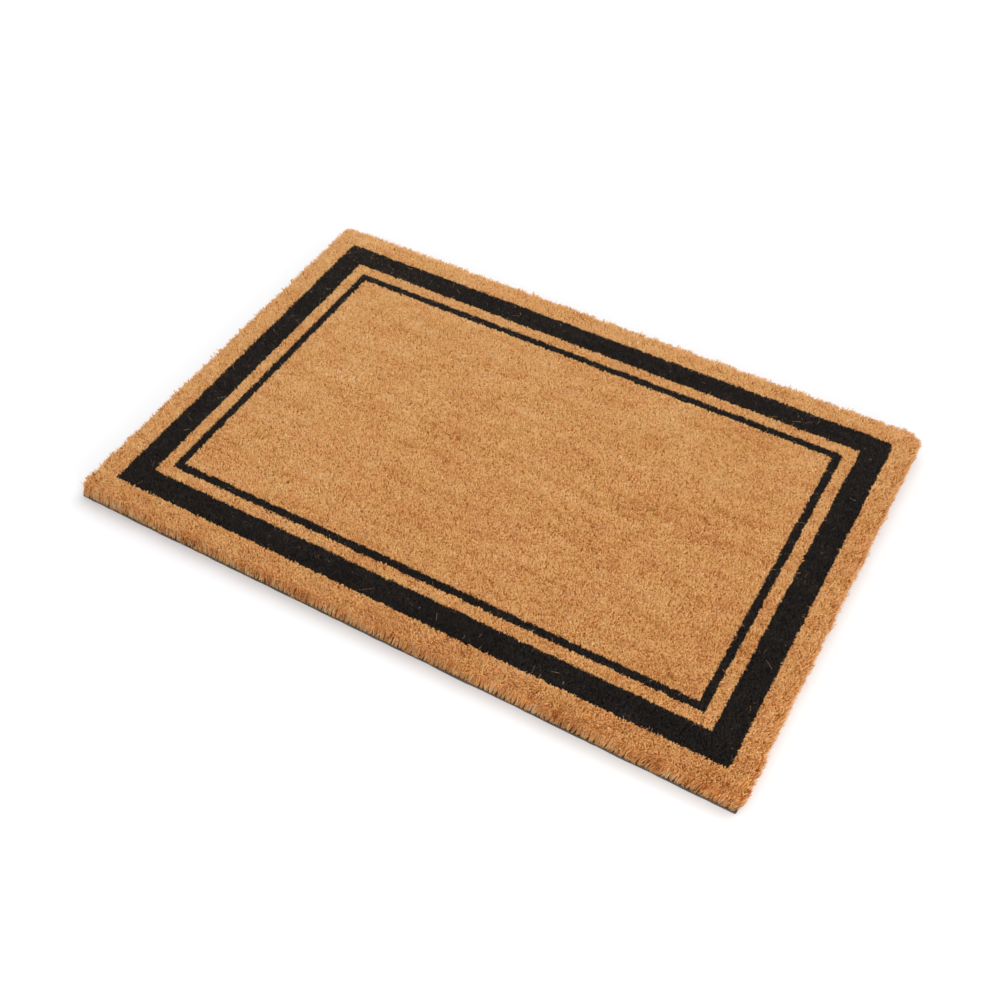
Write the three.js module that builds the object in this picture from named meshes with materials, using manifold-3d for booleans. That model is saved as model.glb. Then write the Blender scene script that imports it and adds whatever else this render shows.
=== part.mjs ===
// Door mat: coir pile standing on a flat vinyl backing, with a wide and a narrow black band.
//
// Millimetres, +Z up. X runs along the long side, Y across the mat, and the floor is z = 0 under
// the middle of the mat. The pile is made in zones by colour, one inside the other, and each zone
// is a body of its own that stands on the backing.

import * as THREE from 'three';
import { mergeVertices } from 'three/addons/utils/BufferGeometryUtils.js';
import Module from 'manifold-3d';

const wasm = await Module();
wasm.setup();

// Driving dimensions
const MAT_LENGTH = 914.4; // 36 in
const MAT_WIDTH = 609.6; // 24 in
const MAT_THICKNESS = 24;
const BACKING_THICKNESS = 2.5;
const NAP_LENGTHWISE = 7; // the pile leans to the back right, so it hangs over the backing's right
const NAP_CROSSWISE = 3; // and back edges by this much, and stands flush at the left and the front
const MARGIN_WIDTH = 33; // plain pile outside the wide band
const WIDE_BAND_WIDTH = 34.3;
const INSET_STRIP_WIDTH = 16.5; // plain pile between the two black bands
const NARROW_LINE_WIDTH = 11;
const PILE_CORNER_RADIUS = 6;
const BACKING_CORNER_RADIUS = 1.5;
const PILE_EDGE_ROUND = 3; // the worn, rounded rim of the pile
const TOUCH_GAP = 0.3; // between bodies that touch on the real mat

const ARC_STEPS = 6;
const EDGE_STEPS = 3;

// How far each zone's outer outline lies inside the mat's own outline
const WIDE_BAND_INSET = MARGIN_WIDTH;
const STRIP_INSET = WIDE_BAND_INSET + WIDE_BAND_WIDTH;
const NARROW_LINE_INSET = STRIP_INSET + INSET_STRIP_WIDTH;
const CENTRE_INSET = NARROW_LINE_INSET + NARROW_LINE_WIDTH;

const PILE_BOTTOM = BACKING_THICKNESS + TOUCH_GAP;
const PILE_HEIGHT = MAT_THICKNESS - PILE_BOTTOM;

const vinyl = new THREE.MeshStandardMaterial({ color: 0x3a3733, roughness: 0.7, metalness: 0 });
const plainCoir = new THREE.MeshStandardMaterial({ color: 0xc58f57, roughness: 0.95, metalness: 0 });
const blackCoir = new THREE.MeshStandardMaterial({ color: 0x221e1a, roughness: 0.95, metalness: 0 });

// Adds a rectangle about the origin to a Shape or a Path
function traceRectangle(path, length, width, radius) {
  const x = length / 2;
  const y = width / 2;
  if (radius === 0) {
    path.moveTo(-x, -y).lineTo(x, -y).lineTo(x, y).lineTo(-x, y).lineTo(-x, -y);
    return path;
  }
  path.moveTo(-x + radius, -y);
  path.absarc(x - radius, -y + radius, radius, -Math.PI / 2, 0);
  path.absarc(x - radius, y - radius, radius, 0, Math.PI / 2);
  path.absarc(-x + radius, y - radius, radius, Math.PI / 2, Math.PI);
  path.absarc(-x + radius, -y + radius, radius, Math.PI, 1.5 * Math.PI);
  return path;
}

// Adds the mat's outline, moved in by inset, with square corners
function traceOutline(path, inset) {
  return traceRectangle(path, MAT_LENGTH - 2 * inset, MAT_WIDTH - 2 * inset, 0);
}

function block(inset, height) {
  const shape = traceOutline(new THREE.Shape(), inset);
  return new THREE.ExtrudeGeometry(shape, { depth: height, bevelEnabled: false });
}

function backingSheet() {
  const length = MAT_LENGTH - NAP_LENGTHWISE;
  const width = MAT_WIDTH - NAP_CROSSWISE;
  const shape = traceRectangle(new THREE.Shape(), length, width, BACKING_CORNER_RADIUS);
  const sheet = new THREE.ExtrudeGeometry(shape, {
    depth: BACKING_THICKNESS,
    bevelEnabled: false,
    curveSegments: ARC_STEPS,
  });
  return sheet.translate(-NAP_LENGTHWISE / 2, -NAP_CROSSWISE / 2, 0);
}

// A flat frame of pile between two square-cornered outlines
function frame(outerInset, innerInset, height) {
  const shape = traceOutline(new THREE.Shape(), outerInset + TOUCH_GAP / 2);
  shape.holes.push(traceOutline(new THREE.Path(), innerInset - TOUCH_GAP / 2));
  return new THREE.ExtrudeGeometry(shape, { depth: height, bevelEnabled: false });
}

function toSolid(geometry) {
  const bare = geometry.clone();
  bare.deleteAttribute('normal');
  bare.deleteAttribute('uv');
  const merged = mergeVertices(bare);
  return new wasm.Manifold(new wasm.Mesh({
    numProp: 3,
    vertProperties: new Float32Array(merged.attributes.position.array),
    triVerts: new Uint32Array(merged.index.array),
  }));
}

function toGeometry(solid) {
  const mesh = solid.getMesh();
  const geometry = new THREE.BufferGeometry();
  geometry.setAttribute('position', new THREE.BufferAttribute(mesh.vertProperties, mesh.numProp));
  geometry.setIndex(new THREE.BufferAttribute(mesh.triVerts, 1));
  geometry.computeVertexNormals();
  return geometry;
}

// The outer zone: its rim is rounded over at the top and drawn in at the root, where the pile
// leaves the backing, and its middle is open for the zones inside it
function marginPile() {
  const shape = traceRectangle(new THREE.Shape(), MAT_LENGTH, MAT_WIDTH, PILE_CORNER_RADIUS);
  const rim = new THREE.ExtrudeGeometry(shape, {
    depth: PILE_HEIGHT - 2 * PILE_EDGE_ROUND,
    curveSegments: ARC_STEPS,
    bevelSegments: EDGE_STEPS,
    bevelThickness: PILE_EDGE_ROUND,
    bevelSize: PILE_EDGE_ROUND,
    bevelOffset: -PILE_EDGE_ROUND,
  });
  rim.translate(0, 0, PILE_EDGE_ROUND);
  const opening = block(WIDE_BAND_INSET - TOUCH_GAP / 2, 3 * PILE_HEIGHT);
  opening.translate(0, 0, -PILE_HEIGHT);
  return toGeometry(toSolid(rim).subtract(toSolid(opening)));
}

function part(name, geometry, material, bottom) {
  const mesh = new THREE.Mesh(geometry, material);
  mesh.name = name;
  mesh.position.z = bottom;
  return mesh;
}

const wideBand = frame(WIDE_BAND_INSET, STRIP_INSET, PILE_HEIGHT);
const insetStrip = frame(STRIP_INSET, NARROW_LINE_INSET, PILE_HEIGHT);
const narrowLine = frame(NARROW_LINE_INSET, CENTRE_INSET, PILE_HEIGHT);
const centreField = block(CENTRE_INSET + TOUCH_GAP / 2, PILE_HEIGHT);

const pile = new THREE.Group();
pile.add(
  part('outer_margin_pile', marginPile(), plainCoir, PILE_BOTTOM),
  part('wide_band_pile', wideBand, blackCoir, PILE_BOTTOM),
  part('inset_strip_pile', insetStrip, plainCoir, PILE_BOTTOM),
  part('narrow_line_pile', narrowLine, blackCoir, PILE_BOTTOM),
  part('centre_field_pile', centreField, plainCoir, PILE_BOTTOM),
);

const doorMat = new THREE.Group();
doorMat.add(part('backing_sheet', backingSheet(), vinyl, 0), pile);

export default doorMat;
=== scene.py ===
"""Coir door mat: undyed coir pile with two black border bands, fused into a vinyl backing sheet."""

import math

import bmesh
import bpy
import numpy as np
from mathutils import Matrix, Vector


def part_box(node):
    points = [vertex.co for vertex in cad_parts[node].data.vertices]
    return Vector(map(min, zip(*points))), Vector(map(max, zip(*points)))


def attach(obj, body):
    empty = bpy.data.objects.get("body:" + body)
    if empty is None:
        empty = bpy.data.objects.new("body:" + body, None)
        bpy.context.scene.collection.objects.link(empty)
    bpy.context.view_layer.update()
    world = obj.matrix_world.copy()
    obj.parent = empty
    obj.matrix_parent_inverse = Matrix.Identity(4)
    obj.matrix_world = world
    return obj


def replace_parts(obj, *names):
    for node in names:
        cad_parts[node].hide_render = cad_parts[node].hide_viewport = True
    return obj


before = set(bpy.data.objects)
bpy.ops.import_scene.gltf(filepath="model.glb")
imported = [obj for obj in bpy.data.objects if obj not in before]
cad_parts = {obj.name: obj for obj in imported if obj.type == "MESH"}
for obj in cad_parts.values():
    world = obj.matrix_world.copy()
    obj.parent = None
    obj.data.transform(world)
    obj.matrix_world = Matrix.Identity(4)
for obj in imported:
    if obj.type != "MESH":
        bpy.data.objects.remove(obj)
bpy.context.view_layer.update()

MM = 0.001
rng = np.random.default_rng(1907)

# The pile's zones, from the outside in: CAD node, material slot
ZONES = [
    ("outer_margin_pile", "plain_coir"),
    ("wide_band_pile", "black_coir"),
    ("inset_strip_pile", "plain_coir"),
    ("narrow_line_pile", "black_coir"),
    ("centre_field_pile", "plain_coir"),
]
BLACK_ZONES = [i for i, (node, slot) in enumerate(ZONES) if slot == "black_coir"]

# A piece with more faces than this is made in parts, and the rim's strands are in two
MOST_FACES = 190_000
RIM_PARTS = 2

# The plan. The pile is rooted just inside the backing's cut edge, and leans over to the right
# and the back, so its tips' outline is a little off the middle.
ROOT_INSET = 0.8 * MM
TIP_INSET = 1.0 * MM
TIP_SHIFT = 1.2 * MM
# Corner radii: front right, back right, back left, front left. The back right one is worn.
CORNERS = np.array([6.0, 13.0, 8.0, 3.5]) * MM
CORNER_SIGNS = np.array([(1, -1), (1, 1), (-1, 1), (-1, -1)])
# The borders are a little off the middle too, and the wide one has one worn corner
BAND_SHIFT = np.array([1.3, 0.4]) * MM
WORN_BAND_CORNER = 8.0 * MM

# The field: strands on a grid. Real coir is 0.2 to 0.4 mm thick, and it stands in sticky clumps
# of several fibres, so each strand here is one such clump.
PITCH = 1.25 * MM
STRAND_WIDTH = 1.75 * MM
# Strands and fibres are this many times as wide as their named width, from and to
STRAND_WIDTHS = (0.7, 1.25)
STRAND_LENGTH = 8.0 * MM
SHORTEST_STRAND = 3.0 * MM
# The field starts this share of the way up from the root outline to the tips' outline
FIELD_START = 0.6
# How far a strand leans for its height: with its neighbours, and on its own
CLUMP = 4.0 * MM
CLUMP_LEAN = 0.16
STRAND_LEAN = 0.34
# The strands' flat tips mostly lie one way, in radians
LIE_ANGLE = 0.42
LIE_SPREAD = 0.45
# Heights: the cut is level, with a slight swell, some spread, and pits between the clumps
CUT_BELOW_TOP = 0.5 * MM
MOST_ABOVE_TOP = 1.0 * MM
HEIGHT_SPREAD = 0.38 * MM
SWELL = 0.35 * MM
SWELL_CELLS = (7 * MM, 4 * MM)
PITS = 0.45
PIT_CELL = 3.0 * MM
PIT_DEPTH = 2.2 * MM
# The colours meet at a join that wanders, and a strand's colour shows near its tip
JOIN_WANDER = 1.3 * MM
JOIN_CELL = 4 * MM
COLOUR_HEIGHT = 0.85

# Towards the rim the field parts into tufts, splays outwards and has deeper pits
RIM_ZONE = 55 * MM
RIM_CLUMP_LEAN = 0.14
RIM_SPLAY = 0.22
RIM_PITS = 0.5
# Right at the rim its cut rounds over
RIM_DEPTH = 6.0 * MM
RIM_DROP = 0.6 * MM

# The matted lower pile
FELT_DEPTH = 4.4 * MM
FELT_INSET = 3.0 * MM
FELT_STEP = 6.0 * MM
FELT_ROUGHNESS = 0.5 * MM
# A corner's chamfer for its radius, and a little more
FELT_CHAMFER = 0.42
LEAST_FELT_CHAMFER = 0.5 * MM

# The rim's own strands
EDGE_DEPTH = 4.0 * MM
EDGE_PITCH = 0.90 * MM
EDGE_ROWS = 5
EDGE_WIDTH = 1.1 * MM
EDGE_WIDTHS = (0.6, 1.2)
# Their height below the pile's top and its spread, their own sway for their length, and how
# much of their reach is a curl
EDGE_BELOW_TOP = 0.2 * MM
EDGE_SPREAD = 0.7 * MM
EDGE_SWAY = 0.04
EDGE_CURL = 0.8
# How deep they are sunk into the vinyl
SUNK = 0.3 * MM
# They gather in tufts. A tuft stands out, up and along the rim by its own amounts.
TUFT = 5.5 * MM
TUFT_JITTER = 0.35
TUFT_PULL = (0.2, 0.85)
TUFT_OUT = 1.3 * MM
TUFT_OUT_RANGE = (-2.6 * MM, 1.6 * MM)
TUFT_UP = 1.0 * MM
MOST_TUFT_UP = 0.9 * MM
TUFT_ALONG = 0.6 * MM
# The rim's outline drifts in and out, most of all in its outer rows
DRIFT = 3.2 * MM
DRIFT_CELL = 13 * MM
STRAND_OUT = 0.5 * MM
INNER_ROWS_STILLER = 0.6
# The outer strands are cut shorter than the inner ones, so their ends show all down the side:
# the outermost ones' share of the full height, how it grows inwards, its jitter and its least.
# A few are whole all the same, and a cut end stands out by an amount of its own.
EDGE_SHARE = 0.38
EDGE_SHARE_GAIN = 0.75
EDGE_SHARE_JITTER = (-0.25, 0.3)
LEAST_EDGE_SHARE = 0.22
FULL_LENGTH_CHANCE = 0.12
CUT_END_OUT = (-0.5 * MM, 1.7 * MM)
# The shorter a strand, the likelier it is painted paler, with a dull tip: painted light on
# the side of the pile, which the short strands' cut ends make up
PAINTED_SIDE_LIGHT_SHARES = (0.6, 1.35)
PAINTED_SIDE_LIGHT_TIP = 0.45

# Single fibres that stand out of the pile
FIBRE_WIDTH = 0.42 * MM
# Those that hang over the cut edge, many of them in small wisps: where they start, how far they
# stand out, and how far they hang, with their ends kept clear of the floor
HANGING_FIBRES = 2200
WISPS = 95
WISP_SPREAD = 1.3 * MM
IN_WISP_CHANCE = 0.4
HANGING_INSET = 0.6 * MM
HANGING_HEIGHTS = (3.5 * MM, 10 * MM)
WISP_OUT = (0.9 * MM, 2.4 * MM)
LONE_OUT = (0.6 * MM, 1.8 * MM)
HANGING_ALONG = 1.6 * MM
HANGING_DROP = (1 * MM, 7 * MM)
LEAST_HANGING_HEIGHT = 1.3 * MM
HANGING_WIDTHS = (0.8, 1.8)
HANGING_SHADE = -0.05
# Those that stand out past the rim. FUZZ_OUT is the shape and scale of a gamma spread.
FUZZ_FIBRES = 3200
FUZZ_ROOTS = 3 * MM
FUZZ_SHARES = (0.45, 0.85)
FUZZ_OUT = (2.5, 1.1 * MM)
MOST_FUZZ_OUT = 4.5 * MM
FUZZ_WIDTHS = (0.45, 1.1)
FUZZ_SHADE = 0.1
FUZZ_ALONG = 1.8 * MM
FUZZ_RISE = 2.0 * MM
FUZZ_CURVE = 0.7 * MM
# Those that lie over the cut pile at a slant
LOOSE_FIBRES = 9000
LOOSE_INSET = 4 * MM
LOOSE_LENGTHS = (2.5 * MM, 7.5 * MM)
LOOSE_RISE = (0.9 * MM, 2.2 * MM)
LOOSE_CURVE = 0.22
LOOSE_WIDTHS = (0.8, 1.7)
# They lie along the mat more than across it: the direction, in radians
LOOSE_WAY = 0.1
LOOSE_WAY_SPREAD = 0.9
LOOSE_SHADE = 0.05
LOOSE_SHADE_SPREAD = 0.1
LOOSE_ROOT_DEPTH = 1.3 * MM
# Those that have been shed, nearly all of them on the black bands. Their lengths have a gamma
# spread too. They rise from where they start and fall back to the pile.
SHED_FIBRES = 64
SHED_LENGTHS = (4, 2.2 * MM)
SHED_WIDTHS = (0.13 * MM, 0.22 * MM)
SHED_SHADES = (0.35, 1.2)
SHED_CURVE = 0.4
SHED_ON_PLAIN_CHANCE = 0.015
SHED_TRIES = 40
SHED_LIFT = 0.2 * MM
SHED_RISE = 0.8 * MM
SHED_FALL = 0.9 * MM

# Shade, in the terms of the pile materials' ramps: 0 is the darkest strand and 1 the palest
SHADE = 0.55
SHADE_SPREAD = 0.095
# Painted light and shade: the mat is darker to the right and lighter to the back
PAINTED_SHADE_TO_RIGHT = -0.035
PAINTED_LIGHT_TO_BACK = 0.02
# Painted shade: the front right corner is duller, over this reach each way
PAINTED_SHADE_REACH = (120 * MM, 35 * MM)
PAINTED_CORNER_SHADE = -0.11
# Clumps, batches of fibre and long faint streaks: shade, and the size of the lumps
SHADE_CLOUDS = [(0.16, 4.2 * MM, 2.2 * MM), (0.06, 38 * MM, 18 * MM), (0.07, 80 * MM, 6 * MM)]
# Painted shade: strands down in the pits are darker, more so towards the rim
PIT_SHADE = -0.22
RIM_PIT_SHADE = -0.1
TUFT_SHADE_SPREAD = 0.08
EDGE_SHADE_SPREAD = 0.06
# Painted light: how much paler the shorter rim strands are
PAINTED_SIDE_LIGHT_SHADE = 0.12
# Painted shade: a share of the rim's strands is dark, standing in for shaded gaps between tufts
DARK_SHADE = -0.4
DARK_CHANCE = 0.12
# Painted shade: the felt, seen only in gaps, is darker than the strands, darkest at its foot
FELT_SHADES = (0.2, 0.6)
FELT_FOOT_SHADE = 0.03
# Russet strands are in loose patches of this size, with some everywhere
RUSSET_CELLS = (20 * MM, 11 * MM)
RUSSET_SPREAD = 0.7
RUSSET_LEVEL = 0.45

# The vinyl's cut edge: its corners, its rounding, and how far the hand cut wanders
VINYL_CORNER = 1.4 * MM
VINYL_ROUNDING = 0.4 * MM
CUT_OUT = 0.35 * MM
CUT_WANDER = [(0.5 * MM, 24 * MM), (0.4 * MM, 9 * MM)]
LONG_EDGE = 100 * MM
LONG_EDGE_CUTS = 110

# The studio: the floor, the room's own light, and the window's spread in degrees
FLOOR_RADIUS = 12
FLOOR_GAP = 0.2 * MM
WORLD_COLOUR = (0.985, 0.995, 1.01, 1)
WORLD_STRENGTH = 1.07
WINDOW_SPREAD = 38
WINDOW_STRENGTH = 0.8
WINDOW_WAY = (-1.2, -2.2, -3.0)
# The camera: degrees, and metres from the point that it looks at
CAMERA_AZIMUTH = 30.293
CAMERA_ELEVATION = 49.316
CAMERA_ROLL = -0.676
CAMERA_DISTANCE = 1.6407
CAMERA_LENS = 46.19
SENSOR_WIDTH = 36
TARGET_X = 0.0170
TARGET_Y = -0.0493
TARGET_BELOW_TOP = 20 * MM

# The stretch of the depth ramp, which paints shade down in the pile, that each kind of strand
# shows, from its root to its tip, and the felt's one place on it
FIELD_SPAN = (0.3, 1.0)
RIM_SPAN = (0.1, 1.0)
HANGING_SPAN = (0.1, 0.45)
SHED_SPAN = (0.7, 1.0)
LOOSE_SPAN = (0.5, 1.0)
FELT_V = 0.6
# The gap between the straw half and the russet half of the ramps, and a strand's width in U
RAMP_GAP = 0.001
UV_SLIVER = 0.001

# The vinyl's embossed pebble, and the faint mottle in its colour
PEBBLE = 1.5 * MM
PEBBLE_DEPTH = 0.4 * MM
MOTTLE = 17 * MM


# ---------------------------------------------------------------- materials


def linear(hex_colour):
    """An sRGB hex colour as linear RGBA."""
    value = [int(hex_colour[i : i + 2], 16) / 255 for i in (1, 3, 5)]
    return (*[v / 12.92 if v <= 0.04045 else ((v + 0.055) / 1.055) ** 2.4 for v in value], 1)


def add_node(tree, kind, links=(), **settings):
    """Adds a node. links are (input name or number, source socket); settings are the node's own
    properties, or default values where the name is an input's."""
    node = tree.nodes.new(kind)
    for name, value in settings.items():
        if hasattr(node, name):
            setattr(node, name, value)
        else:
            node.inputs[name.replace("_", " ")].default_value = value
    for name, source in links:
        tree.links.new(node.inputs[name], source)
    return node


def new_material(name, roughness, specular=0.5):
    """A material with a bare principled shader. Returns it with its tree and shader."""
    material = bpy.data.materials.new(name)
    material.use_nodes = True
    tree = material.node_tree
    shader = tree.nodes["Principled BSDF"]
    shader.inputs["Roughness"].default_value = roughness
    shader.inputs["Specular IOR Level"].default_value = specular
    return material, tree, shader


def ramp(tree, source, stops):
    """A colour ramp through (position, hex colour) stops."""
    node = add_node(tree, "ShaderNodeValToRGB", links=[(0, source)])
    elements = node.color_ramp.elements
    while len(elements) < len(stops):
        elements.new(0.5)
    for element, (position, colour) in zip(elements, stops):
        element.position = position
        element.color = linear(colour)
    return node.outputs["Color"]


def coir(name, straw, russet, painted_depth_shade, roughness, specular):
    """Coir strands: the pile's own UV map holds each strand's shade in U and the height along
    the strand in V. The straw coloured strands have the lower half of U, the russet ones the
    upper half."""
    material, tree, shader = new_material(name, roughness, specular)
    strand_uv = add_node(tree, "ShaderNodeUVMap", uv_map="OFBake")
    split = add_node(tree, "ShaderNodeSeparateXYZ", links=[(0, strand_uv.outputs[0])])
    stops = [(place / 2 - (place == 1) * RAMP_GAP, colour) for place, colour in straw]
    stops += [(0.5 + place / 2, colour) for place, colour in russet]
    shade = ramp(tree, split.outputs[0], stops)
    # The ramp along V is painted shade, darker down in the pile
    depth = ramp(tree, split.outputs[1], painted_depth_shade)
    mixed = add_node(
        tree,
        "ShaderNodeMix",
        data_type="RGBA",
        blend_type="MULTIPLY",
        links=[(6, shade), (7, depth)],
    )
    mixed.inputs[0].default_value = 1
    tree.links.new(shader.inputs["Base Color"], mixed.outputs[2])
    return material


# Undyed coir: retted and combed coconut husk fibre, cut level. Matte straw to red-brown
# strands, with painted shade that makes them darker and greyer down in the pile.
plain_coir = coir(
    "undyed_coir_cut_pile",
    [(0.0, "#7E451C"), (0.2, "#BC6F30"), (0.5, "#EDB16A"), (0.8, "#F5C687"), (1.0, "#FBE2B6")],
    [(0.0, "#7C3F1C"), (0.2, "#BB682F"), (0.5, "#ECA969"), (0.8, "#F4C085"), (1.0, "#FBDFB7")],
    [(0.0, "#D0D6E2"), (0.42, "#F3EEEA"), (0.58, "#DCB888"), (0.85, "#FFFFFF")],
    roughness=0.8,
    specular=0.25,
)

# Black dyed coir: the same fibre, dyed right through, with a brown cast where dye is thin,
# and painted shade that makes it darker down in the pile.
black_coir = coir(
    "black_dyed_coir_cut_pile",
    [(0.0, "#0E0C0B"), (0.55, "#211C18"), (0.82, "#352D26"), (1.0, "#8A7864")],
    [(0.0, "#0E0C0B"), (0.55, "#231A17"), (0.82, "#382A23"), (1.0, "#8A705D")],
    [(0.0, "#808080"), (0.8, "#FFFFFF")],
    roughness=0.75,
    specular=0.2,
)
PILE_FINISH = {"plain_coir": plain_coir, "black_coir": black_coir}


def backing_vinyl():
    """Calendered PVC: matte, a dark brownish grey, with a fine pebble embossed in it."""
    material, tree, shader = new_material("calendered_vinyl_sheet", roughness=0.62, specular=0.4)
    place = add_node(tree, "ShaderNodeTexCoord").outputs["Object"]
    mottle = add_node(
        tree, "ShaderNodeTexNoise", links=[("Vector", place)], Scale=1 / MOTTLE, Detail=4
    )
    tint = ramp(tree, mottle.outputs[0], [(0.3, "#463E37"), (0.7, "#564C43")])
    tree.links.new(shader.inputs["Base Color"], tint)
    pebble = add_node(tree, "ShaderNodeTexVoronoi", links=[("Vector", place)], Scale=1 / PEBBLE)
    emboss = add_node(
        tree,
        "ShaderNodeBump",
        links=[("Height", pebble.outputs[0])],
        Strength=0.35,
        Distance=PEBBLE_DEPTH,
    )
    tree.links.new(shader.inputs["Normal"], emboss.outputs[0])
    return material


vinyl = backing_vinyl()


# ---------------------------------------------------------------- shapes


def finish_piece(mesh, name, material):
    """A piece of the mat from its mesh. Everything is on the one body."""
    piece = bpy.data.objects.new(name, mesh)
    bpy.context.scene.collection.objects.link(piece)
    mesh.materials.append(material)
    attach(piece, "root")
    return piece


def from_bmesh(bm, name):
    mesh = bpy.data.meshes.new(name)
    bm.to_mesh(mesh)
    bm.free()
    return mesh


def cut_through(bm, place, way, drop_outer=False):
    """Cuts all of a mesh with a plane."""
    everything = bm.verts[:] + bm.edges[:] + bm.faces[:]
    bmesh.ops.bisect_plane(
        bm, geom=everything, plane_co=place, plane_no=way, clear_outer=drop_outer
    )


def chisel():
    """A strand one unit long and wide: flat one way at its root and the other way at its tip."""
    bm = bmesh.new()
    corners = [(-0.5, 0, 0), (0.5, 0, 0), (0, -0.5, 1), (0, 0.5, 1)]
    bmesh.ops.convex_hull(bm, input=[bm.verts.new(c) for c in corners])
    bmesh.ops.recalc_face_normals(bm, faces=bm.faces)
    return from_bmesh(bm, "strand")


def reed(sections, tip):
    """A three-sided strand one unit long, cut across into sections so that it can bend."""
    bm = bmesh.new()
    bmesh.ops.create_cone(bm, cap_ends=True, segments=3, radius1=0.5, radius2=0.5 * tip, depth=1)
    bmesh.ops.translate(bm, verts=bm.verts, vec=(0, 0, 0.5))
    for i in range(1, sections):
        cut_through(bm, (0, 0, i / sections), (0, 0, 1))
    return from_bmesh(bm, "bent_strand")


def arrays(mesh):
    """A small mesh's vertices, loop vertices and face sizes."""
    points = np.empty(len(mesh.vertices) * 3)
    mesh.vertices.foreach_get("co", points)
    loops = np.empty(len(mesh.loops), int)
    mesh.loops.foreach_get("vertex_index", loops)
    sizes = np.empty(len(mesh.polygons), int)
    mesh.polygons.foreach_get("loop_total", sizes)
    return points.reshape(-1, 3), loops, sizes


def russet_of(x, y):
    """Which strands are russet: some everywhere, and more of them in loose patches."""
    return cloud(x, y, *RUSSET_CELLS) + rng.normal(0, RUSSET_SPREAD, len(x)) > RUSSET_LEVEL


def strands(
    name, template, root, axis, width, turn, bend, shade, tip=None, span=(0.0, 1.0), lying=False
):
    """One mesh of many copies of a strand. Each copy starts at root, runs along axis, is width
    wide, is turned about its length by turn, and curves away by bend towards its tip. The section
    is level, or upright for strands that lie. V runs from span's low value to its high one, or
    to each copy's own tip value."""
    points, loops, sizes = arrays(template)
    count = len(root)
    along = points[:, 2]
    zero, one = np.zeros(count), np.ones(count)
    side = np.stack([np.cos(turn), np.sin(turn), zero], 1)
    level = np.stack([-np.sin(turn), np.cos(turn), zero], 1)
    cross = np.stack([zero, zero, one], 1) if lying else level
    co = (
        root[:, None]
        + axis[:, None] * along[None, :, None]
        + bend[:, None] * (along**2)[None, :, None]
        + side[:, None] * (points[:, 0][None, :] * width[:, None])[..., None]
        + cross[:, None] * (points[:, 1][None, :] * width[:, None])[..., None]
    )
    mesh = bpy.data.meshes.new(name)
    mesh.vertices.add(count * len(points))
    mesh.vertices.foreach_set("co", co.ravel())
    mesh.loops.add(count * len(loops))
    mesh.loops.foreach_set(
        "vertex_index", (np.arange(count)[:, None] * len(points) + loops[None]).ravel()
    )
    total = np.tile(sizes, count)
    mesh.polygons.add(len(total))
    mesh.polygons.foreach_set("loop_start", np.concatenate([[0], np.cumsum(total)[:-1]]))
    mesh.update(calc_edges=True)
    u = (np.clip(shade, 0.01, 0.99) + russet_of(root[:, 0], root[:, 1]))[:, None] / 2
    # A sliver of width, so that no face of the map is a bare line
    u = u + points[loops, 0][None] * UV_SLIVER
    tip = np.full(count, span[1]) if tip is None else tip
    v = span[0] + along[loops][None] * (tip[:, None] - span[0])
    layer = mesh.uv_layers.new(name="OFBake")
    layer.data.foreach_set("uv", np.stack([u, v], 2).ravel())
    return mesh


# ---------------------------------------------------------------- the mat's plan

zone_low = [np.array(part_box(node)[0]) for node, _ in ZONES]
zone_high = [np.array(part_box(node)[1]) for node, _ in ZONES]
pile_bottom = zone_low[0][2]
pile_top = zone_high[0][2]
backing_low, backing_high = (np.array(corner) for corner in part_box("backing_sheet"))
mat_half = zone_high[0][:2]
# Where the pile is rooted, where its tips are, and how far it leans over on the way
root_centre = (backing_low + backing_high)[:2] / 2
root_half = (backing_high - backing_low)[:2] / 2 - ROOT_INSET
tip_half = mat_half - TIP_INSET
grow = tip_half - root_half
nap = TIP_SHIFT - root_centre
field_half = root_half + FIELD_START * grow
field_centre = root_centre + FIELD_START * nap
strand_root = pile_top - STRAND_LENGTH
felt_top = pile_top - FELT_DEPTH


def inside_depth(x, y):
    """How far in a point is from the outline of the field of strands, and the way out."""
    x, y = x - field_centre[0], y - field_centre[1]
    radius = np.where(
        x > 0, np.where(y > 0, CORNERS[1], CORNERS[0]), np.where(y > 0, CORNERS[2], CORNERS[3])
    )
    qx, qy = np.abs(x) - (field_half[0] - radius), np.abs(y) - (field_half[1] - radius)
    ox, oy = np.maximum(qx, 0), np.maximum(qy, 0)
    reach = np.hypot(ox, oy)
    depth = radius - reach - np.minimum(np.maximum(qx, qy), 0)
    flat = reach < 1e-9
    nx = np.where(flat, (qx > qy) * 1.0, ox / np.maximum(reach, 1e-9)) * np.sign(x)
    ny = np.where(flat, (qx <= qy) * 1.0, oy / np.maximum(reach, 1e-9)) * np.sign(y)
    return depth, nx, ny


def cloud(x, y, cell_x, cell_y=None):
    """Smooth noise over the mat, about -1 to 1, with lumps of about a cell."""
    cell_y = cell_y or cell_x
    fx, fy = x / cell_x, y / cell_y
    low_x, low_y = math.floor(fx.min()), math.floor(fy.min())
    shape = (math.ceil(fx.max()) - low_x + 2, math.ceil(fy.max()) - low_y + 2)
    grid = rng.uniform(-1, 1, shape)
    ix, iy = np.floor(fx).astype(int) - low_x, np.floor(fy).astype(int) - low_y
    tx, ty = fx - np.floor(fx), fy - np.floor(fy)
    tx, ty = tx * tx * (3 - 2 * tx), ty * ty * (3 - 2 * ty)
    top = grid[ix, iy] * (1 - tx) + grid[ix + 1, iy] * tx
    low = grid[ix, iy + 1] * (1 - tx) + grid[ix + 1, iy + 1] * tx
    return top * (1 - ty) + low * ty


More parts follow.
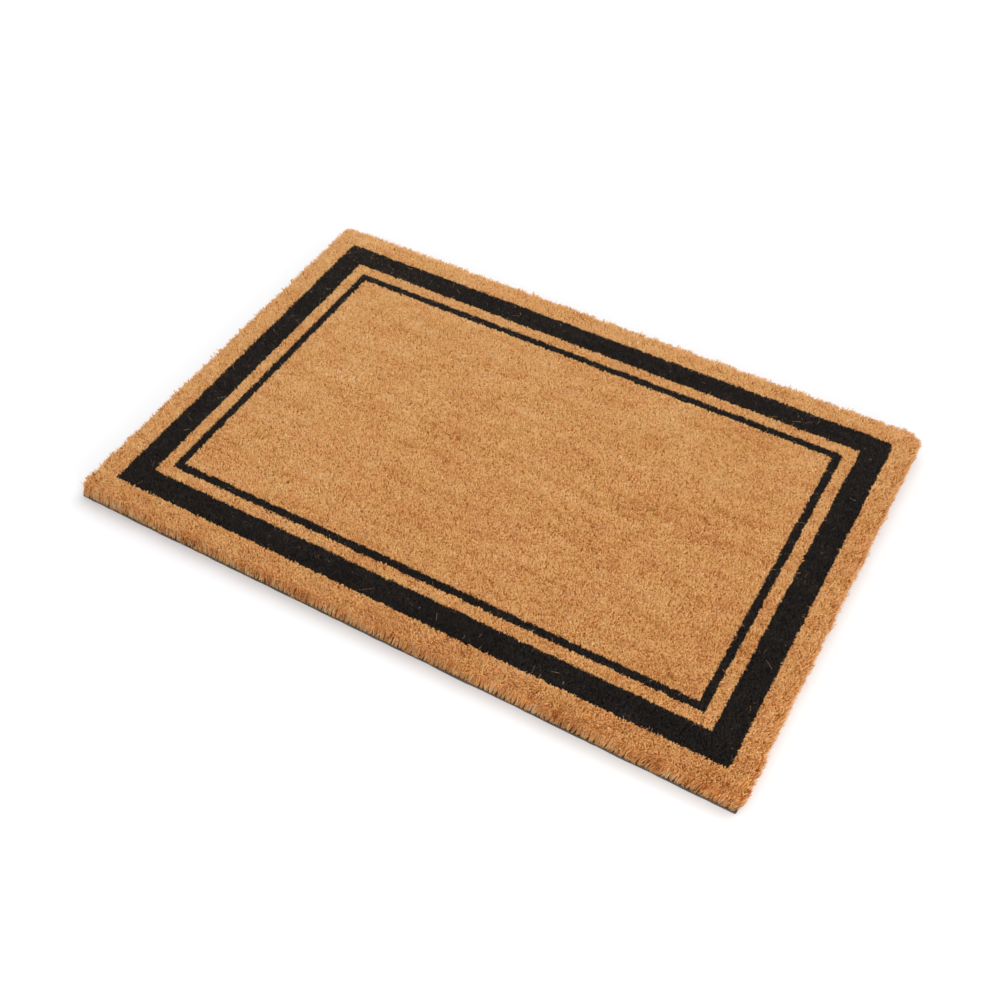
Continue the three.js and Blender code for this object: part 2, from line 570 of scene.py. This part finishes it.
def zone_of(x, y):
    """The number of the zone a point is in."""
    x, y = x - BAND_SHIFT[0], y - BAND_SHIFT[1]
    zone = np.zeros(len(x), int)
    for i in range(1, len(ZONES)):
        halfx, halfy = zone_high[i][:2]
        inside = (np.abs(x) < halfx) & (np.abs(y) < halfy)
        if ZONES[i][0] == "wide_band_pile":
            past_x, past_y = x - halfx + WORN_BAND_CORNER, y - halfy + WORN_BAND_CORNER
            inside &= (past_x < 0) | (past_y < 0) | (np.hypot(past_x, past_y) < WORN_BAND_CORNER)
        zone[inside] = i
    return zone


# ---------------------------------------------------------------- pile


def shade_of(x, y):
    """Each strand's shade: its own, its clump's, and the slow drift of the fibre batches in
    faint streaks along the mat. Painted light and shade make it darker to the right, lighter
    to the back and duller at the front right corner."""
    own = rng.normal(0, SHADE_SPREAD, len(x))
    # Painted shade at the front right corner
    across = (x - mat_half[0]) / PAINTED_SHADE_REACH[0], (y + mat_half[1]) / PAINTED_SHADE_REACH[1]
    painted_corner = np.exp(-(np.hypot(*across) ** 2))
    shade = SHADE + PAINTED_SHADE_TO_RIGHT * x / mat_half[0] + PAINTED_LIGHT_TO_BACK * y / mat_half[1]
    shade = shade + own + PAINTED_CORNER_SHADE * painted_corner
    for amount, cell_x, cell_y in SHADE_CLOUDS:
        shade = shade + amount * cloud(x, y, cell_x, cell_y)
    return shade


def rounding(depth):
    """How much lower the cut is this far in from the rim."""
    return RIM_DROP * np.clip(1 - depth / RIM_DEPTH, 0, 1) ** 2


def field_strands():
    """Strands on a jittered grid over the whole mat inside the rim. Each has the colour of the
    zone that its upper end is in."""
    nx = int(2 * field_half[0] / PITCH)
    ny = int(2 * field_half[1] / PITCH)
    gx, gy = np.meshgrid(np.arange(nx) + 0.5, np.arange(ny) + 0.5)
    x = (gx.ravel() / nx * 2 - 1) * field_half[0] + rng.uniform(-0.5, 0.5, nx * ny) * PITCH
    y = (gy.ravel() / ny * 2 - 1) * field_half[1] + rng.uniform(-0.5, 0.5, nx * ny) * PITCH
    x, y = x + field_centre[0], y + field_centre[1]
    depth, out_x, out_y = inside_depth(x, y)
    keep = depth > EDGE_DEPTH
    x, y, depth, out_x, out_y = x[keep], y[keep], depth[keep], out_x[keep], out_y[keep]
    n = len(x)
    rim = np.clip(1 - depth / RIM_ZONE, 0, 1)
    clump = CLUMP_LEAN + RIM_CLUMP_LEAN * rim
    splay = RIM_SPLAY * rim**2
    lean_x = clump * cloud(x, y, CLUMP) + rng.normal(0, STRAND_LEAN, n) + splay * out_x
    lean_y = clump * cloud(x, y, CLUMP) + rng.normal(0, STRAND_LEAN, n) + splay * out_y
    pits = np.clip(-cloud(x, y, PIT_CELL) - PITS, 0, 1) / (1 - PITS)
    top = pile_top - CUT_BELOW_TOP + rng.normal(0, HEIGHT_SPREAD, n)
    top += SWELL * cloud(x, y, *SWELL_CELLS)
    pits *= 1 + RIM_PITS * rim
    top -= PIT_DEPTH * pits
    top -= rounding(depth)
    top = np.clip(top, strand_root + SHORTEST_STRAND, pile_top + MOST_ABOVE_TOP)
    length = top - strand_root
    root = np.stack([x, y, np.full(n, strand_root)], 1)
    axis = np.stack([lean_x * length, lean_y * length, length], 1)
    seen_x = x + COLOUR_HEIGHT * lean_x * length + JOIN_WANDER * cloud(x, y, JOIN_CELL)
    seen_y = y + COLOUR_HEIGHT * lean_y * length + JOIN_WANDER * cloud(x, y, JOIN_CELL)
    return {
        "root": root,
        "axis": axis,
        "width": STRAND_WIDTH * rng.uniform(*STRAND_WIDTHS, n),
        "turn": LIE_ANGLE - math.pi / 2 + rng.normal(0, LIE_SPREAD, n),
        "bend": np.zeros((n, 3)),
        # Painted shade in the pits
        "shade": shade_of(x, y) + (PIT_SHADE + RIM_PIT_SHADE * rim) * pits,
        "zone": zone_of(seen_x, seen_y),
    }


def outline(s, depth):
    """Points on the root outline moved in by depth, s along it from 0 to 1, with the way out.
    It runs anticlockwise from the front side, each straight side followed by its corner. The
    last value is its whole length."""
    way = (np.arange(4) - 1) * math.pi / 2
    out = np.stack([np.cos(way), np.sin(way)], 1)
    middles = root_centre + CORNER_SIGNS * (root_half - CORNERS[:, None])
    ends = middles + CORNERS[:, None] * out
    begins = np.roll(middles, 1, axis=0) + np.roll(CORNERS, 1)[:, None] * out
    straights = np.linalg.norm(ends - begins, axis=1)
    lengths = np.stack([straights, math.pi / 2 * CORNERS], 1).ravel()
    starts = np.concatenate([[0], np.cumsum(lengths)])
    place = (s % 1) * starts[-1]
    leg = np.clip(np.searchsorted(starts, place, side="right") - 1, 0, 7)
    share = (place - starts[leg]) / lengths[leg]
    side, on_arc = leg // 2, leg % 2 == 1
    angle = way[side] + np.where(on_arc, share, 0) * math.pi / 2
    n = np.stack([np.cos(angle), np.sin(angle)], 1)
    along_side = begins[side] + (ends[side] - begins[side]) * share[:, None]
    round_corner = middles[side] + CORNERS[side][:, None] * n
    xy = np.where(on_arc[:, None], round_corner, along_side) - n * np.asarray(depth)[..., None]
    return xy[:, 0], xy[:, 1], n[:, 0], n[:, 1], starts[-1]


def rim_length():
    """All the way round the root outline."""
    return outline(np.zeros(1), 0)[4]


def edge_strands():
    """Long strands in rows round the rim, from the backing up. They gather in tufts at the root,
    fan outwards, and lean over with the nap."""
    whole = rim_length()
    per_row = int(whole / EDGE_PITCH)
    row = np.repeat(np.arange(EDGE_ROWS), per_row)
    n = len(row)
    s = (np.tile(np.arange(per_row), EDGE_ROWS) + rng.uniform(0, 1, n)) * EDGE_PITCH
    depth = (row + rng.uniform(0.1, 0.9, n)) / EDGE_ROWS * EDGE_DEPTH
    tufts = int(whole / TUFT)
    jitter = rng.uniform(-TUFT_JITTER, TUFT_JITTER, tufts + 1)
    bounds = (np.arange(tufts + 1) + jitter) * whole / tufts
    tuft = np.clip(np.searchsorted(bounds, s) - 1, 0, tufts - 1)
    pull = s - (bounds[tuft] + bounds[tuft + 1]) / 2
    gathered = s - pull * rng.uniform(*TUFT_PULL, n)
    x, y, _, _, _ = outline(gathered / whole, depth)
    tip_x, tip_y, nx, ny, _ = outline(s / whole, depth)
    drift = cloud(tip_x, tip_y, DRIFT_CELL)
    lip = 1 - INNER_ROWS_STILLER * depth / EDGE_DEPTH
    tuft_out = np.clip(rng.normal(0, TUFT_OUT, tufts), *TUFT_OUT_RANGE)[tuft]
    tuft_up = np.minimum(rng.normal(0, TUFT_UP, tufts), MOST_TUFT_UP)[tuft]
    tuft_along = rng.normal(0, TUFT_ALONG, tufts)[tuft]
    tuft_shade = rng.normal(0, TUFT_SHADE_SPREAD, tufts)[tuft]
    flare = lip * (tuft_out + DRIFT * drift + rng.normal(0, STRAND_OUT, n))
    top = pile_top - EDGE_BELOW_TOP - rounding(depth)
    top += rng.normal(0, EDGE_SPREAD, n) + tuft_up
    bottom = backing_high[2] - SUNK
    share = EDGE_SHARE + EDGE_SHARE_GAIN * depth / EDGE_DEPTH + rng.uniform(*EDGE_SHARE_JITTER, n)
    whole_ones = rng.uniform(0, 1, n) < FULL_LENGTH_CHANCE
    share = np.where(whole_ones, 1, np.clip(share, LEAST_EDGE_SHARE, 1))
    length = share * (top - bottom)
    flare += np.where(share < 1, rng.uniform(*CUT_END_OUT, n), 0)
    # Painted shade: dark strands stand in for the shaded gaps between the tufts
    dark = rng.uniform(0, 1, n) < DARK_CHANCE
    # Painted light: shorter strands, whose ends make up the pile's side, are paler with a dull tip
    painted_side_light = share < rng.uniform(*PAINTED_SIDE_LIGHT_SHARES, n)
    sway = rng.normal(0, EDGE_SWAY, (n, 2)) * length[:, None]
    lean = np.sqrt(share)
    reach_x = tip_x - x + lean * (nap[0] + nx * (grow[0] + flare)) + sway[:, 0] - ny * tuft_along
    reach_y = tip_y - y + lean * (nap[1] + ny * (grow[1] + flare)) + sway[:, 1] + nx * tuft_along
    curl = rng.uniform(0, EDGE_CURL, n)
    width = EDGE_WIDTH * rng.uniform(*EDGE_WIDTHS, n)
    turn = rng.uniform(0, 2 * math.pi, n)
    shade = shade_of(x, y) + tuft_shade + rng.normal(0, EDGE_SHADE_SPREAD, n)
    return {
        "root": np.stack([x, y, np.full(n, bottom)], 1),
        "axis": np.stack([reach_x * (1 - curl), reach_y * (1 - curl), length], 1),
        "width": width,
        "turn": turn,
        "bend": np.stack([reach_x * curl, reach_y * curl, np.zeros(n)], 1),
        "shade": shade + PAINTED_SIDE_LIGHT_SHADE * painted_side_light + DARK_SHADE * dark,
        "tip": np.where(painted_side_light, PAINTED_SIDE_LIGHT_TIP, 1.0),
    }


def hanging_fibres(count):
    """Single fibres that droop over the backing's cut edge."""
    wisps = rng.integers(0, WISPS, count)
    wisp = rng.uniform(0, 1, WISPS)[wisps] + rng.normal(0, WISP_SPREAD, count) / rim_length()
    in_wisp = rng.uniform(0, 1, count) < IN_WISP_CHANCE
    s = np.where(in_wisp, wisp, rng.uniform(0, 1, count))
    x, y, nx, ny, _ = outline(s, np.full(count, HANGING_INSET))
    z = rng.uniform(*HANGING_HEIGHTS, count)
    wisp_out, lone_out = rng.uniform(*WISP_OUT, WISPS)[wisps], rng.uniform(*LONE_OUT, count)
    out = np.where(in_wisp, wisp_out, lone_out)
    along = rng.normal(0, HANGING_ALONG, count)
    drop = np.minimum(rng.uniform(*HANGING_DROP, count), z - LEAST_HANGING_HEIGHT)
    level = np.zeros(count)
    return {
        "root": np.stack([x, y, z], 1),
        "axis": np.stack([2 * out * nx - ny * along, 2 * out * ny + nx * along, level], 1),
        "width": FIBRE_WIDTH * rng.uniform(*HANGING_WIDTHS, count),
        "turn": rng.uniform(0, 2 * math.pi, count),
        "bend": np.stack([-out * nx, -out * ny, -drop], 1),
        "shade": shade_of(x, y) + HANGING_SHADE,
    }


def rim_fuzz(count):
    """Single fibres that stand out past the rim of the pile."""
    s = rng.uniform(0, 1, count)
    x, y, nx, ny, _ = outline(s, rng.uniform(0, FUZZ_ROOTS, count))
    share = rng.uniform(*FUZZ_SHARES, count)
    z = pile_bottom + share * (pile_top - pile_bottom)
    x = x + share * (nx * grow[0] + nap[0])
    y = y + share * (ny * grow[1] + nap[1])
    out = np.minimum(rng.gamma(*FUZZ_OUT, count), MOST_FUZZ_OUT)
    along = rng.normal(0, FUZZ_ALONG, count)
    rise = rng.normal(FUZZ_RISE, FUZZ_RISE, count)
    curve = rng.normal(0, FUZZ_CURVE, (count, 3))
    return {
        "root": np.stack([x, y, z], 1),
        "axis": np.stack([out * nx - ny * along, out * ny + nx * along, rise], 1),
        "width": FIBRE_WIDTH * rng.uniform(*FUZZ_WIDTHS, count),
        "turn": rng.uniform(0, 2 * math.pi, count),
        "bend": curve,
        "shade": shade_of(x, y) + FUZZ_SHADE,
    }


def loose_fibres(count):
    """Single fibres that have sprung out of the cut pile and lie over it at a slant."""
    x = rng.uniform(-1, 1, count) * (tip_half[0] - LOOSE_INSET)
    y = rng.uniform(-1, 1, count) * (tip_half[1] - LOOSE_INSET)
    way = rng.normal(LOOSE_WAY, LOOSE_WAY_SPREAD, count) + math.pi * rng.integers(0, 2, count)
    length = rng.uniform(*LOOSE_LENGTHS, count)
    rise = rng.uniform(*LOOSE_RISE, count)
    curve = rng.normal(0, LOOSE_CURVE, count) * length
    zero = np.zeros(count)
    return {
        "root": np.stack([x, y, np.full(count, pile_top - LOOSE_ROOT_DEPTH)], 1),
        "axis": np.stack([np.cos(way) * length, np.sin(way) * length, rise], 1),
        "width": FIBRE_WIDTH * rng.uniform(*LOOSE_WIDTHS, count),
        "turn": way + math.pi / 2,
        "bend": np.stack([-np.sin(way) * curve, np.cos(way) * curve, zero - rise / 2], 1),
        "shade": shade_of(x, y) + rng.normal(LOOSE_SHADE, LOOSE_SHADE_SPREAD, count),
        "zone": zone_of(x, y),
    }


def shed_fibres(count):
    """Long pale fibres shed on to the black bands and, fewer, anywhere else."""
    far_x, far_y = zone_high[1][:2]
    x = rng.uniform(-far_x, far_x, SHED_TRIES * count)
    y = rng.uniform(-far_y, far_y, SHED_TRIES * count)
    black = np.isin(zone_of(x, y), BLACK_ZONES)
    passed_over = ~black & (rng.uniform(0, 1, len(x)) < 1 - SHED_ON_PLAIN_CHANCE)
    order = np.argsort(passed_over, kind="stable")[:count]
    x, y = x[order], y[order]
    way = rng.uniform(0, 2 * math.pi, count)
    length = rng.gamma(*SHED_LENGTHS, count)
    curve = rng.normal(0, SHED_CURVE, count) * length
    level = np.zeros(count)
    return {
        "root": np.stack([x, y, level + pile_top + SHED_LIFT], 1),
        "axis": np.stack([np.cos(way) * length, np.sin(way) * length, level + SHED_RISE], 1),
        "width": rng.uniform(*SHED_WIDTHS, count),
        "turn": way + math.pi / 2,
        "bend": np.stack([-np.sin(way) * curve, np.cos(way) * curve, level - SHED_FALL], 1),
        "shade": rng.uniform(*SHED_SHADES, count),
    }


def chosen(rows, keep):
    """Some of the strands, without the zone that they were chosen by."""
    return {name: values[keep] for name, values in rows.items() if name != "zone"}


def zone_piece(mesh, i):
    """A piece of a zone's own pile."""
    node, slot = ZONES[i]
    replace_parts(finish_piece(mesh, mesh.name, PILE_FINISH[slot]), node)


def field_pieces():
    """Each zone's cut strands."""
    rows = field_strands()
    strand = chisel()
    for i, (node, _) in enumerate(ZONES):
        mine = np.flatnonzero(rows["zone"] == i)
        # A long piece is cut across the mat, so each part is one stretch of it
        mine = mine[np.argsort(rows["root"][mine, 0], kind="stable")]
        parts = math.ceil(len(mine) * len(strand.polygons) / MOST_FACES)
        for k, group in enumerate(np.array_split(mine, parts)):
            name = f"{node}_strands_{k + 1}"
            zone_piece(strands(name, strand, **chosen(rows, group), span=FIELD_SPAN), i)


def rim_pieces():
    """The rim's strands in two pieces, and its fibres. The shed fibres are of the margin's coir
    too, wherever they lie."""
    strand = reed(sections=2, tip=0.5)
    rows = edge_strands()
    for k, group in enumerate(np.array_split(np.arange(len(rows["shade"])), RIM_PARTS)):
        name = f"pile_rim_strands_{k + 1}"
        zone_piece(strands(name, strand, **chosen(rows, group), span=RIM_SPAN), 0)
    fuzz = reed(sections=3, tip=0.4)
    zone_piece(strands("pile_rim_fuzz", fuzz, **rim_fuzz(FUZZ_FIBRES)), 0)
    rows = hanging_fibres(HANGING_FIBRES)
    zone_piece(strands("hanging_fibres", strand, **rows, span=HANGING_SPAN), 0)
    hair = reed(sections=7, tip=0.5)
    rows = shed_fibres(SHED_FIBRES)
    zone_piece(strands("shed_fibres", hair, **rows, lying=True, span=SHED_SPAN), 0)


def loose_pieces():
    """Each zone's loose fibres."""
    rows = loose_fibres(LOOSE_FIBRES)
    fibre = reed(sections=2, tip=0.5)
    for i, (node, _) in enumerate(ZONES):
        mine = chosen(rows, np.flatnonzero(rows["zone"] == i))
        name = f"{node}_loose_fibres"
        zone_piece(strands(name, fibre, **mine, lying=True, span=LOOSE_SPAN), i)


def zone_box(i):
    """A zone's outline, with the borders as far off the middle as they really are."""
    return zone_low[i][:2] + BAND_SHIFT, zone_high[i][:2] + BAND_SHIFT


def felt_plan(i):
    """A grid over a zone, in its outline, with the next zone's opening cut out of it."""
    if i == 0:
        low, high = field_centre - field_half + FELT_INSET, field_centre + field_half - FELT_INSET
    else:
        low, high = zone_box(i)
    size, centre = high - low, (high + low) / 2
    steps_x, steps_y = (round(length / FELT_STEP) for length in size)
    bm = bmesh.new()
    bmesh.ops.create_grid(bm, x_segments=steps_x, y_segments=steps_y, size=0.5)
    bmesh.ops.scale(bm, verts=bm.verts, vec=(*size, 1))
    bmesh.ops.translate(bm, verts=bm.verts, vec=(*centre, 0))
    if i == 0:
        for radius, signs in zip(CORNERS, CORNER_SIGNS):
            way = Vector((*signs, 0)).normalized()
            corner = Vector((*(centre + size / 2 * signs), 0))
            chamfer = FELT_CHAMFER * max(radius - FELT_INSET, 0) + LEAST_FELT_CHAMFER
            cut_through(bm, corner - way * chamfer, way, drop_outer=True)
    if i + 1 < len(ZONES):
        (left, front), (right, back) = zone_box(i + 1)
        for x in (left, right):
            cut_through(bm, (x, 0, 0), (1, 0, 0))
        for y in (front, back):
            cut_through(bm, (0, y, 0), (0, 1, 0))
        middles = [(f, f.calc_center_median()) for f in bm.faces]
        opening = [f for f, m in middles if left < m.x < right and front < m.y < back]
        bmesh.ops.delete(bm, geom=opening, context="FACES")
    return bm


def felt(i):
    """The matted lower pile of a zone, a closed slab or ring under the strands."""
    bm = felt_plan(i)
    bmesh.ops.recalc_face_normals(bm, faces=bm.faces)
    raised = bmesh.ops.extrude_face_region(bm, geom=bm.faces[:])
    lifted = {v for v in raised["geom"] if isinstance(v, bmesh.types.BMVert)}
    # The sides follow the strands, from where they are rooted to where the field of them starts
    shrink = (root_half - FELT_INSET) / (field_half - FELT_INSET)
    roughness = rng.normal(0, FELT_ROUGHNESS, len(bm.verts))
    for v, rise in zip(bm.verts, roughness):
        if v in lifted:
            v.co.z = felt_top + rise
        else:
            v.co.xy = root_centre + (np.array(v.co.xy) - field_centre) * shrink
            v.co.z = pile_bottom
    bmesh.ops.recalc_face_normals(bm, faces=bm.faces)
    layer = bm.loops.layers.uv.new("OFBake")
    # Painted shade: dark low down, where the gaps between the rim's tufts show it
    upper = [v.co.z > pile_bottom + MM for v in bm.verts]
    shades = np.where(upper, rng.uniform(*FELT_SHADES, len(bm.verts)), FELT_FOOT_SHADE)
    bm.verts.index_update()
    for f in bm.faces:
        for loop in f.loops:
            loop[layer].uv = (shades[loop.vert.index] / 2, FELT_V)
    zone_piece(from_bmesh(bm, f"{ZONES[i][0]}_felt"), i)


def round_off(bm, edges, radius, segments):
    """Rounds some edges of a mesh."""
    bmesh.ops.bevel(
        bm,
        geom=edges,
        offset=radius,
        segments=segments,
        profile=0.5,
        affect="EDGES",
        material=-1,
    )


def backing():
    """The vinyl sheet, with its cut edge very slightly rounded."""
    size = Vector(backing_high - backing_low)
    centre = Vector(backing_high + backing_low) / 2
    block = Matrix.Translation(centre) @ Matrix.Diagonal((*size, 1))
    bm = bmesh.new()
    bmesh.ops.create_cube(bm, size=1, matrix=block)
    upright = [e for e in bm.edges if abs(e.verts[0].co.z - e.verts[1].co.z) > 0.5 * size.z]
    round_off(bm, upright, VINYL_CORNER, segments=4)
    level = [e for e in bm.edges if abs(e.verts[0].co.z - e.verts[1].co.z) < 1e-6]
    round_off(bm, level, VINYL_ROUNDING, segments=2)
    # It is cut by hand, so the cut wanders a little
    long_edges = [e for e in bm.edges if e.calc_length() > LONG_EDGE]
    bmesh.ops.subdivide_edges(bm, edges=long_edges, cuts=LONG_EDGE_CUTS)
    places = np.array([v.co for v in bm.verts])
    wander = np.full(len(places), CUT_OUT)
    for amount, cell in CUT_WANDER:
        wander += amount * cloud(places[:, 0], places[:, 1], cell)
    for v, way in zip(bm.verts, wander):
        v.co.x += way * math.copysign(1, v.co.x)
        v.co.y += way * math.copysign(1, v.co.y)
    piece = finish_piece(from_bmesh(bm, "vinyl_backing"), "vinyl_backing", vinyl)
    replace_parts(piece, "backing_sheet")


backing()
for i in range(len(ZONES)):
    felt(i)
field_pieces()
rim_pieces()
loose_pieces()


# ---------------------------------------------------------------- floor, light and camera


def floor():
    """A matte white floor, just clear of the mat's underside."""
    bm = bmesh.new()
    lowered = Matrix.Translation((0, 0, -FLOOR_GAP))
    bmesh.ops.create_circle(bm, cap_ends=True, segments=64, radius=FLOOR_RADIUS, matrix=lowered)
    material, _, shader = new_material("white_studio_floor", roughness=0.9, specular=0.1)
    shader.inputs["Base Color"].default_value = linear("#E2E2E2")
    mesh = from_bmesh(bm, "studio_floor")
    mesh.materials.append(material)
    ground = bpy.data.objects.new("studio_floor", mesh)
    bpy.context.scene.collection.objects.link(ground)


def lamp(light, place, way):
    """Hangs a light at a place, shining the given way."""
    hung = bpy.data.objects.new(light.name, light)
    hung.location = place
    hung.rotation_mode = "QUATERNION"
    hung.rotation_quaternion = way.to_track_quat("-Z", "Y")
    bpy.context.scene.collection.objects.link(hung)


def softbox(name, place, aim, size, power):
    light = bpy.data.lights.new(name, "AREA")
    light.shape = "RECTANGLE"
    light.size, light.size_y = size
    light.energy = power
    lamp(light, place, Vector(aim) - Vector(place))


def studio():
    """A white room, with wide window light from the back right, a softbox high behind and a
    low fill at the front right."""
    world = bpy.data.worlds.new("white_room")
    world.use_nodes = True
    background = world.node_tree.nodes["Background"]
    background.inputs["Color"].default_value = WORLD_COLOUR
    background.inputs["Strength"].default_value = WORLD_STRENGTH
    bpy.context.scene.world = world
    window = bpy.data.lights.new("wide_window_light", "SUN")
    window.angle = math.radians(WINDOW_SPREAD)
    window.energy = WINDOW_STRENGTH
    lamp(window, (0, 0, 0), Vector(WINDOW_WAY))
    softbox("key_softbox", place=(0.1, 2.5, 3.1), aim=(0, 0, 0), size=(2.6, 2.0), power=20)
    softbox(
        "fill_softbox", place=(1.3, -1.1, 0.55), aim=(0.4, -0.25, 0), size=(0.8, 0.5), power=10.5
    )
    bpy.context.scene.view_settings.view_transform = "Standard"


def camera():
    """From the front right and above, looking a little in front of the mat's middle."""
    azimuth = math.radians(CAMERA_AZIMUTH)
    elevation = math.radians(CAMERA_ELEVATION)
    roll = math.radians(CAMERA_ROLL)
    target = Vector((TARGET_X, TARGET_Y, pile_top - TARGET_BELOW_TOP))
    back = Vector(
        (
            math.sin(azimuth) * math.cos(elevation),
            -math.cos(azimuth) * math.cos(elevation),
            math.sin(elevation),
        )
    )
    data = bpy.data.cameras.new("camera")
    data.lens = CAMERA_LENS
    data.sensor_width = SENSOR_WIDTH
    cam = bpy.data.objects.new("camera", data)
    right = Vector((math.cos(azimuth), math.sin(azimuth), 0))
    up = back.cross(right)
    turned_right = right * math.cos(roll) + up * math.sin(roll)
    turned_up = up * math.cos(roll) - right * math.sin(roll)
    turn = Matrix((turned_right, turned_up, back)).transposed().to_4x4()
    cam.matrix_world = Matrix.Translation(target + back * CAMERA_DISTANCE) @ turn
    bpy.context.scene.collection.objects.link(cam)
    bpy.context.scene.camera = cam


floor()
studio()
camera()
